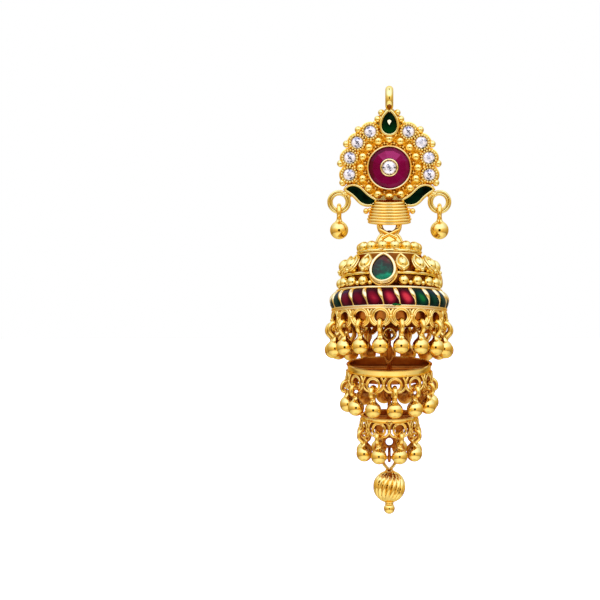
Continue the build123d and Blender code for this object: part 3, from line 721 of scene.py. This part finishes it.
sideSizes = {"loop": 1.05, "wire": 0.37, "radius": 1.5, "length": 2.98, "carried": 0.45}
for name, side in (("left", -1), ("right", 1)):
    spot = at(side * sideRing["x"], -sideRing["depth"], sideRing["z"] - sideRing["hang"])
    finishPiece("sideDrop." + name, dropMesh(**sideSizes), "head", [gold], spot, ["side_drop_" + name])


# --- Dome ---
dome = {
    "cap": ((0, -3.4), (1.7, -3.45), (2.6, -3.8), (3.3, -4.1), (4.0, -4.35), (4.7, -4.7), (5.0, -5.0)),
    "core": (
        (4.9, -5.0), (5.3, -5.8), (6.0, -6.5), (6.5, -7.4), (6.85, -8.6), (7.1, -9.4), (7.05, -10.6),
        (7.8, -11.2), (8.5, -11.5),
    ),
    "collar": ((5.0, 0.3, -5.2), (5.05, 0.2, -5.62)),
    "capBeads": (14, 4.47, -4.36, 0.88), "capPhase": 0.45, "capSeats": (0.7, 0.17),
    "shelf": (7.35, -9.0, 0.3),
    "belt": (7.8, -10.32, 0.87), "beltAngles": (24.5, 42.25, 60, 77.75, 95.5), "beltGrain": (7.75, -10.65, 0.45),
    "pearAngles": (24, 48, 72, 96), "pear": (7.3, -7.7, 38), "pearSize": (2.15, 3.35),
    "emerald": (7.2, -9.05, 20), "emeraldFirst": -7.5, "emeraldSize": (3.5, 4.4),
}
emeraldTurns = [dome["emeraldFirst"] + 120 * index for index in range(3)]
crown = bmesh.new()
stamp(crown, turned(dome["cap"], 64))
# painted shade: the core between the pears in the darkest gold, the inside lining in the shaded gold
stamp(crown, turned(dome["core"], 72), [upright], 2)
inside = [(r - 0.5, z - 0.1) for r, z in dome["core"]]
stamp(crown, turned([(0, -4.6), (3.8, -4.9), *inside, (8.75, -13.0), (8.5, -15.0), (8.45, -16.7)], 64), [upright], 1)
for radius, wire, height in dome["collar"]:
    stamp(crown, hoop(radius, wire, 72), [at(0, 0, height)])
count, radius, height, size = dome["capBeads"]
beadPlaces = [turn((index + dome["capPhase"]) * 360 / count, "Z") @ at(0, -radius, height) for index in range(count)]
stamp(crown, ball(size), beadPlaces)
seatRadius, seatWire = dome["capSeats"]
stamp(crown, hoop(seatRadius, seatWire, 20, 6), [p @ at(0, -0.1, -0.42) @ turn(25, "X") for p in beadPlaces])
radius, height, wire = dome["shelf"]
stamp(crown, hoop(radius, wire, 72, 8), [at(0, 0, height)])
radius, height, size = dome["belt"]
beltTurns = [first + angle for first in emeraldTurns for angle in dome["beltAngles"]]
stamp(crown, ball(size), [turn(a, "Z") @ at(0, -radius, height) for a in beltTurns])
stamp(crown, hoop(0.62, 0.2, 20, 6), [around(radius - 0.35, a, height - 0.1) for a in beltTurns])
radius, height, size = dome["beltGrain"]
stamp(crown, ball(size, 12, 8), [turn(a + 8.9, "Z") @ at(0, -radius, height) for a in beltTurns])
finishPiece("domeShoulder", crown, "dome", [plateGold, shadedGold, darkShadeGold], domePlace, ["dome", "dome_trim"])

pears = bmesh.new()
radius, height, lean = dome["pear"]
width, length = dome["pearSize"]
pearTurns = [first + angle for first in emeraldTurns for angle in dome["pearAngles"]]
pearPlaces = [around(radius, a, height, lean) for a in pearTurns]
frameLine = [(x, y, 0) for x, y in pearPoints(width - 0.36, length - 0.45)]
stamp(pears, wireLine(frameLine, 0.22, True), [p @ at(0, 0, 0.32) for p in pearPlaces])
stamp(pears, wireLine(frameLine, 0.25, True), [p @ at(0, 0, -0.05) for p in pearPlaces])
stamp(pears, ball(0.78, 20, 12, (1, 1.42, 1.1)), [p @ at(0, 0.2, 0.3) for p in pearPlaces])
stamp(pears, slab(frameLine, -0.8, 0.1), pearPlaces)
stamp(pears, ball(0.36, 12, 8), [p @ at(0, -1.15, 0.25) for p in pearPlaces])
finishPiece("domePears", pears, "dome", [plateGold], domePlace)

settings = bmesh.new()
radius, height, lean = dome["emerald"]
emeraldPlaces = [around(radius, a, height, lean) for a in emeraldTurns]
width, length = dome["emeraldSize"]
bezelLine = [(x, y, 0) for x, y in pearPoints(width + 0.42, length + 0.56, 12)]
stamp(settings, wireLine(bezelLine, 0.27, True), [p @ at(0, 0, 1.0) for p in emeraldPlaces])
stamp(settings, wireLine(bezelLine, 0.34, True), [p @ at(0, 0, 0.6) for p in emeraldPlaces])
widerLine = [(x, y - 0.1, 0) for x, y in pearPoints(width + 0.75, length + 0.8, 12)]
stamp(settings, wireLine(widerLine, 0.25, True), [p @ at(0, 0, 0.0) for p in emeraldPlaces], 1)
stamp(settings, slab(bezelLine, -1.0, 0.45), emeraldPlaces, 1)
finishPiece("emeraldBezels", settings, "dome", [highlightGold, gold], domePlace)

width, length = dome["emeraldSize"]
for index, spot in enumerate(emeraldPlaces):
    stone = gem([
        (pearPoints(width, length, 5), 0.5), (pearPoints(width, length, 5), 0.95),
        ([(x, y + 0.1) for x, y in pearPoints(width * 0.8, length * 0.78, 4)], 1.22),
        ([(x, y + 0.15) for x, y in pearPoints(width * 0.55, length * 0.52, 3)], 1.35),
    ])
    emerald = bmesh.new()
    stamp(emerald, stone)
    node = f"emerald_{index + 1}"
    finishPiece(f"emerald.{index + 1}", emerald, "dome", [emeraldStone], domePlace @ spot, [node], 5, "green_stone")
print("dome done")

# --- Enamel band ---
band = {
    "cells": 22, "top": -11.6, "bottom": -14.4,
    "face": ((8.5, -11.6), (8.85, -11.85), (9.25, -12.35), (9.52, -13.0), (9.56, -13.6), (9.3, -14.4)),
    "rims": ((8.45, 0.24, -11.45), (9.3, 0.16, -14.48), (9.25, 0.14, -14.85)),
    "skirt": ((9.25, -14.45), (9.3, -14.75), (9.22, -15.05), (8.7, -15.1), (8.6, -14.6)),
    "swoosh": (
        (-0.17, 0.0, 1.3), (-0.13, 0.13, 1.9), (-0.06, 0.33, 2.3), (0.02, 0.5, 1.8), (0.09, 0.66, 1.05),
        (0.14, 0.84, 0.75), (0.16, 1.0, 0.9),
    ),
    "wire": 0.19, "sink": 0.1, "spill": ((5.6, -14.36, 0.5), (9.5, -14.4, 0.4)),
}


def bandRadius(height):   # the radius of the enamel's face at a height
    for (r0, z0), (r1, z1) in zip(band["face"], band["face"][1:]):
        if height >= z1:
            return r0 + (r1 - r0) * (height - z0) / (z1 - z0)
    return band["face"][-1][0]


cellAngle = 360 / band["cells"]


def acrossBand(share, down):   # a point on the band: share of a cell sideways, share of its height down
    height = band["top"] + (band["bottom"] - band["top"]) * down
    angle = radians(share * cellAngle)
    radius = bandRadius(height)
    return Vector((radius * sin(angle), -radius * cos(angle), height))


dividers = bmesh.new()
for radius, wire, height in band["rims"]:
    stamp(dividers, hoop(radius, wire, 88), [at(0, 0, height)])
stamp(dividers, turned(band["skirt"], 88))
line = []
for share, down, _ in band["swoosh"]:
    place = acrossBand(share, down)
    line.append(place - Vector((place.x, place.y, 0)).normalized() * band["sink"])
sizes = [Vector(point).x for point in runThrough([(size, 0, 0) for *_, size in band["swoosh"]], steps=4)]
dividerTurns = [turn((index + 0.5) * cellAngle, "Z") for index in range(band["cells"])]
stamp(dividers, wireLine(runThrough(line, steps=4), band["wire"], radii=sizes), dividerTurns)
# painted shade: the backing behind the enamel in the dark gold
backing = [(r - 0.25, z) for r, z in band["face"]]
stamp(dividers, turned(backing, 88), [upright], 1)
finishPiece("bandFrame", dividers, "dome", [highlightGold, darkShadeGold], domePlace)


def enamelCell():   # one cell's enamel, a grid that fills the space between two dividers
    shape = bmesh.new()
    bmesh.ops.create_grid(shape, x_segments=10, y_segments=12, size=0.5)
    line = [(share, down) for share, down, _ in band["swoosh"]]
    middles = []
    for vert in shape.verts:
        across, down = 2 * vert.co.x, 0.5 - vert.co.y
        for (s0, d0), (s1, d1) in zip(line, line[1:]):
            if d0 <= down <= d1 + 1e-6:
                lean = s0 + (s1 - s0) * (down - d0) / (d1 - d0)
        crown = 0.16 * (1 - across**4) * (1 - (2 * vert.co.y) ** 4) - 0.05
        # middle: 1 at the cell's middle, falling to 0 at its edges; it places the painted highlight
        middles.append(max(0, 1 - (across / 0.75) ** 2 - ((down - 0.56) / 0.46) ** 2))
        point = acrossBand(lean + vert.co.x, down)
        outward = Vector((point.x, point.y, 0)).normalized()
        vert.co = (point + outward * crown) * mm
    bmesh.ops.recalc_face_normals(shape, faces=shape.faces)
    if sum(face.normal.y for face in shape.faces) > 0:
        bmesh.ops.reverse_faces(shape, faces=shape.faces)
    return shape, middles


redCells = (0, 1, 8, 9, 10, 11, 12, 19, 20, 21)
cellHighlight = {21: 0.85, 0: 1.15, 1: 1.3, 2: 1.1}   # how strongly the painted highlight shows in a cell, the front cells most; the others are duller
for name, chosen, finish, node in (
    ("enamelRed", redCells, redEnamel, "enamel_red"),
    ("enamelGreen", [c for c in range(band["cells"]) if c not in redCells], greenEnamel, "enamel_green"),
):
    cells = bmesh.new()
    levels = []
    for index in chosen:
        shape, middles = enamelCell()
        stamp(cells, shape, [turn(index * cellAngle, "Z")])
        levels += [level * cellHighlight.get(index, 0.5) for level in middles]
    if node == "enamel_green":   # two drips of green that lie over the lower rim
        for angle, height, size in band["spill"]:
            before = len(cells.verts)
            stamp(cells, ball(size, 12, 8, (1, 0.5, 0.42)), [turn(angle, "Z") @ at(0, -bandRadius(height) - 0.05, height)])
            levels += [0.9] * (len(cells.verts) - before)
    made = finishPiece(name, cells, "dome", [finish], domePlace, [node], slot=node.replace("enamel_", "") + "_enamel")
    made.data.attributes.new("middle", "FLOAT", "POINT").data.foreach_set("value", levels)
print("enamel done")


# --- Ring rows: double rings, each inside a wider arc that meets its neighbour's ---
def ringRow(piece, count, phase, row, height, radius, wire):
    places = [around(row, (index + phase) * 360 / count, height) for index in range(count)]
    stamp(piece, hoop(radius + wire * 0.35, wire * 0.68, 32), places)
    stamp(piece, hoop(radius - wire * 0.58, wire * 0.5, 28, 6), [p @ at(0, 0, -wire * 0.1) for p in places])
    reach = row * tan(pi / count)
    inner = radius + wire * 1.2
    for side in (1, -1):
        sweep = []
        for angle in range(42, -64, -7):   # the arc closes in on its ring below the middle
            size = reach + (inner - reach) * max(0, -angle / 63) ** 1.4
            sweep.append((side * size * cos(radians(angle)), size * sin(radians(angle)), -0.05))
        stamp(piece, wireLine(sweep, wire * 0.85), places)
    between = [around(row / cos(pi / count), (index + phase + 0.5) * 360 / count, height) for index in range(count)]
    stamp(piece, ball(wire * 1.15, 12, 8), between)


fringe = {"count": 17, "phase": 0.57, "row": 9.2, "height": -16.25, "radius": 1.25, "wire": 0.27}
bell = bmesh.new()
ringRow(bell, *fringe.values())
finishPiece("domeRings", bell, "dome", [domeGold], domePlace, ["dome_rings"])
domeDrop = {"loop": 0.93, "wire": 0.38, "radius": 1.37, "length": 3.24, "carried": 0.27}
hangDrops("domeDrop", "dome", domePlace, fringe, domeDrop, domeGold, "dome_drop")

# --- Yoke above the dome and stem below it ---
yoke = {
    "bail": -0.6, "bailWires": ((1.78, 0.27, 0), (1.36, 0.3, 0.05)), "arch": -3.75, "archWires": ((2.0, 0.27), (1.6, 0.27)),
    "stem": (0.5, -4.2, -17.1),
    "saddle": ((0, -1.72), (0.8, -1.75), (1.5, -1.95), (1.66, -2.3), (1.8, -2.7), (2.15, -3.1), (2.7, -3.5), (0, -3.9)),
}
links = bmesh.new()
for radius, wire, shift in yoke["bailWires"]:
    for depth in (0.28, -0.28):
        stamp(links, hoop(radius, wire, 36), [at(0, -depth, yoke["bail"]) @ turn(90, "X")])
for radius, wire in yoke["archWires"]:
    for depth in (0.25, -0.25):
        stamp(links, hoop(radius, wire, 24, 8, pi), [at(0, -depth, yoke["arch"]) @ turn(90, "X")])
for side in (1, -1):
    stamp(links, wireLine([(side * 1.5, -0.5, -1.3), (side * 0.3, -0.72, -2.0), (-side * 1.3, -0.75, -2.75)], 0.3))
saddle = turned(yoke["saddle"], 40)
bmesh.ops.scale(saddle, vec=(1, 0.42, 1), verts=saddle.verts)
stamp(links, saddle)
# painted shade: the ball in the yoke's middle and the stem in the dark gold
stamp(links, ball(0.5, 14, 8), [at(0, -0.5, -2.0)], 1)
size, top, bottom = yoke["stem"]
stamp(links, turned([(0, top), (size, top), (size, bottom), (0, bottom)], 20), [upright], 1)
stamp(links, hoop(0.95, 0.28, 28), [at(0, 0, -18.5 + 0.17) @ turn(90, "X")])
finishPiece("domeLinks", links, "dome", [gold, darkShadeGold], domePlace)


# --- Lower tiers ---
def tier(name, body, node, place, row, sizes, finish):
    piece = bmesh.new()
    radius, top, bottom = sizes["band"]
    middle = (top + bottom) / 2
    stamp(piece, turned([
        (radius - 0.5, top), (radius - 0.12, top + 0.02), (radius + 0.02, top - 0.1), (radius - 0.04, top - 0.2),
        (radius - 0.12, middle), (radius - 0.24, bottom + 0.12), (radius - 0.3, bottom), (radius - 0.6, bottom),
    ], 72, True))
    lining = [(radius - 0.54, top - 0.02), (radius - 0.64, bottom + 0.02), (radius - 0.66, row["height"])]
    stamp(piece, turned(lining, 72), [upright], 1)
    stamp(piece, hoop(radius - 0.04, 0.12, 72, 6), [at(0, 0, top - 0.05)], 2)
    stamp(piece, hoop(radius - 0.22, 0.12, 72, 6), [at(0, 0, bottom + 0.08)])
    ringRow(piece, *row.values())
    for angle in (0, 90):
        bar = wireLine([(-radius + 0.5, 0, middle), (radius - 0.5, 0, middle)], 0.42)
        stamp(piece, bar, [turn(angle, "Z")], 1)
    stamp(piece, hoop(0.95, 0.3, 28), [at(0, 0, -0.95) @ turn(90, "Y")], 1)
    for wire, start, end in sizes["rods"]:
        stamp(piece, turned([(0, start), (wire, start), (wire, end), (0, end)], 16), [upright], 1)
    for radius, wire, height, axis in sizes["rings"]:
        stamp(piece, hoop(radius, wire, 28), [at(0, 0, height) @ turn(90, axis)], 1)
    for line in sizes.get("twists", ()):
        stamp(piece, wireLine(runThrough(line), 0.11))
    finishPiece(name, piece, body, [finish, shadedGold, highlightGold], place, [node])


tierTwo = {"count": 12, "phase": 0.25, "row": 6.8, "height": -7.15, "radius": 1.06, "wire": 0.23}
tier("tierTwo", "tier_two", "tier_two_crown", tierTwoPlace, tierTwo, {
    "band": (6.95, -4.78, -5.9), "rods": ((0.4, -1.8, -8.9),),
    "rings": ((0.95, 0.28, -9.83, "X"),),
    "twists": (
        ((-0.9, -0.5, -3.4), (-0.45, -0.6, -4.1), (0.1, -0.5, -4.3), (0.5, -0.5, -3.7)),
        ((0.75, -0.5, -3.3), (0.35, -0.65, -4.0), (-0.2, -0.5, -4.6), (-0.5, -0.4, -4.2)),
    ),
}, tierTwoGold)
tierTwoDrop = {"loop": 0.92, "wire": 0.38, "radius": 1.34, "length": 2.8, "carried": 0.22}
hangDrops("tierTwoDrop", "tier_two", tierTwoPlace, tierTwo, tierTwoDrop, tierTwoGold, "tier_two_drop")
tierThree = {"count": 8, "phase": 0.5, "row": 4.42, "height": -5.0, "radius": 1.08, "wire": 0.22}
tier("tierThree", "tier_three", "tier_three_crown", tierThreePlace, tierThree, {
    "band": (4.73, -3.18, -3.9), "rods": ((0.3, -1.8, -6.9),),
    "rings": ((0.86, 0.28, -7.7, "X"), (1.0, 0.25, -9.9, "Y")),
}, tierThreeGold)
tierThreeDrop = {"loop": 0.92, "wire": 0.38, "radius": 1.29, "length": 3.03, "carried": 0.22}
hangDrops("tierThreeDrop", "tier_three", tierThreePlace, tierThree, tierThreeDrop, tierThreeGold, "tier_three_drop")
print("tiers done")

# --- End drop ---
endDrop = {"melon": 2.66, "centre": -4.2, "flutes": 18, "depth": 0.15, "twist": 0.3, "granule": (0.91, -7.79)}
melon = bmesh.new()
bmesh.ops.create_uvsphere(melon, u_segments=endDrop["flutes"] * 8, v_segments=32, radius=endDrop["melon"] * mm)
for vert in melon.verts:   # the flutes wind a little as they go down
    height = vert.co.z / mm / endDrop["melon"]
    angle = atan2(vert.co.y, vert.co.x) - endDrop["twist"] * asin(max(-1, min(1, height)))
    groove = 1 - abs(sin(angle * endDrop["flutes"] / 2)) ** 0.75
    level = max(0.0, 1 - height**2) ** 0.5
    scale = 1 - endDrop["depth"] * groove * level
    vert.co = Vector((vert.co.x * scale, vert.co.y * scale, vert.co.z))
drop = bmesh.new()
stamp(drop, melon, [at(0, 0, endDrop["centre"])])
linkLine = [(0, 0.62), (-0.85, 0.25), (-0.95, -0.35), (-0.45, -1.05), (0, -1.4), (0.45, -1.05), (0.95, -0.35), (0.85, 0.25)]
link = runThrough([(x, 0, z) for x, z in linkLine], True)
stamp(drop, wireLine(link, 0.27, True))
stamp(drop, turned([(0, -1.3), (0.55, -1.35), (0.75, -1.6), (0.95, -1.95), (1.1, -2.1)], 24))
stamp(drop, turned([(1.0, -6.55), (0.78, -6.7), (0.66, -6.95), (0.72, -7.15), (0.6, -7.3)], 24))
radius, height = endDrop["granule"]
stamp(drop, ball(radius, 24, 14), [at(0, 0, height)])
finishPiece("endDrop", drop, "end_drop", [gold], endPlace, ["end_drop"])
print("end drop done")


# --- Studio ---
studio = {"floor": -0.12, "floorShade": (0.8, 0.79, 0.78), "distance": 0.6, "rise": 1.5, "field": 97.9, "aside": 14.571}
low, high = cadBox
floor = bmesh.new()
bmesh.ops.create_circle(floor, cap_ends=True, segments=64, radius=2.5)
floorMesh = bpy.data.meshes.new("floor")
floor.to_mesh(floorMesh)
floor.free()
floorMesh.transform(Matrix.Translation((0, 0, studio["floor"])))
floorPiece = bpy.data.objects.new("floor", floorMesh)
bpy.context.scene.collection.objects.link(floorPiece)
paper = Recipe("palePaper")
floorMesh.materials.append(paper.set(Base_Color=(*studio["floorShade"], 1), Roughness=0.9))
floorPiece.visible_glossy = False

world = bpy.data.worlds.new("studio")
bpy.context.scene.world = world
world.use_nodes = True
tree = world.node_tree
tree.nodes.clear()


def worldNode(kind, settings=None, values=None):
    node = tree.nodes.new("ShaderNode" + kind)
    for name, value in (settings or {}).items():
        setattr(node, name, value)
    for name, value in (values or {}).items():
        if isinstance(value, bpy.types.NodeSocket):
            tree.links.new(value, node.inputs[name])
        else:
            node.inputs[name].default_value = value
    return node


heading = worldNode("TexCoord").outputs["Generated"]
parts = worldNode("SeparateXYZ", None, {0: heading})
ramp = worldNode("ValToRGB")
skyStops = (   # by height from straight down to straight up; the lamps are cooler than the room
    (0.0, (0.2, 0.2, 0.24)), (0.04, (0.29, 0.3, 0.4)), (0.25, (0.29, 0.3, 0.4)), (0.3, (0.13, 0.09, 0.045)),
    (0.35, (0.2, 0.155, 0.1)), (0.5, (0.25, 0.205, 0.15)), (0.6, (0.29, 0.265, 0.24)), (0.67, (0.32, 0.35, 0.55)),
    (0.73, (0.34, 0.42, 0.86)), (0.97, (0.34, 0.42, 0.86)), (1.0, (0.12, 0.1, 0.08)),
)
for index, (spot, level) in enumerate(skyStops):
    stop = ramp.color_ramp.elements[index] if index < 2 else ramp.color_ramp.elements.new(spot)
    stop.position, stop.color = spot, (*level, 1)
height = worldNode("MapRange", None, {"Value": parts.outputs[2], 1: -1.0, 2: 1.0})
tree.links.new(height.outputs[0], ramp.inputs[0])
sideways = worldNode("Math", {"operation": "ABSOLUTE"}, {0: parts.outputs[0]})
path = worldNode("LightPath")
strength = 4.1
for source, span in (
    (parts.outputs[1], (-0.3, 0.45, 1.0, 0.7)), (sideways.outputs[0], (0.35, 0.85, 1.0, 0.7)),
    (parts.outputs[1], (-0.968, -0.957, 0.02, 1.0)),
):
    share = worldNode("MapRange", None, {"Value": source, 1: span[0], 2: span[1], 3: span[2], 4: span[3]})
    strength = worldNode("Math", {"operation": "MULTIPLY"}, {0: strength, 1: share.outputs[0]}).outputs[0]
studioLight = worldNode("Background", None, {"Strength": strength, "Color": ramp.outputs[0]})
lights = studioLight.outputs[0]
for rays, level in (("Is Diffuse Ray", 1.9), ("Is Camera Ray", 1.0)):   # plain white for these rays
    white = worldNode("Background", None, {"Strength": level, "Color": (1, 1, 1, 1)})
    lights = worldNode("MixShader", None, {0: path.outputs[rays], 1: lights, 2: white.outputs[0]}).outputs[0]
worldNode("OutputWorld", None, {"Surface": lights})

cameraData = bpy.data.cameras.new("camera")
camera = bpy.data.objects.new("camera", cameraData)
bpy.context.scene.collection.objects.link(camera)
bpy.context.scene.camera = camera
camera.rotation_mode = "XYZ"
rise = radians(studio["rise"])
aim = Vector((0, -0.002, -0.0216))   # the height that the frame's middle looks at
camera.location = aim + Vector((0, -cos(rise), sin(rise))) * studio["distance"]
camera.rotation_euler = (pi / 2 - rise, 0, 0)
cameraData.sensor_width = 36
cameraData.lens = 36 * studio["distance"] / (studio["field"] * mm)
cameraData.shift_x = -studio["aside"] / studio["field"]   # the earring stands right of the middle
cameraData.clip_start, cameraData.clip_end = 0.01, 20
bpy.context.scene.view_settings.view_transform = "Standard"
print("studio done")
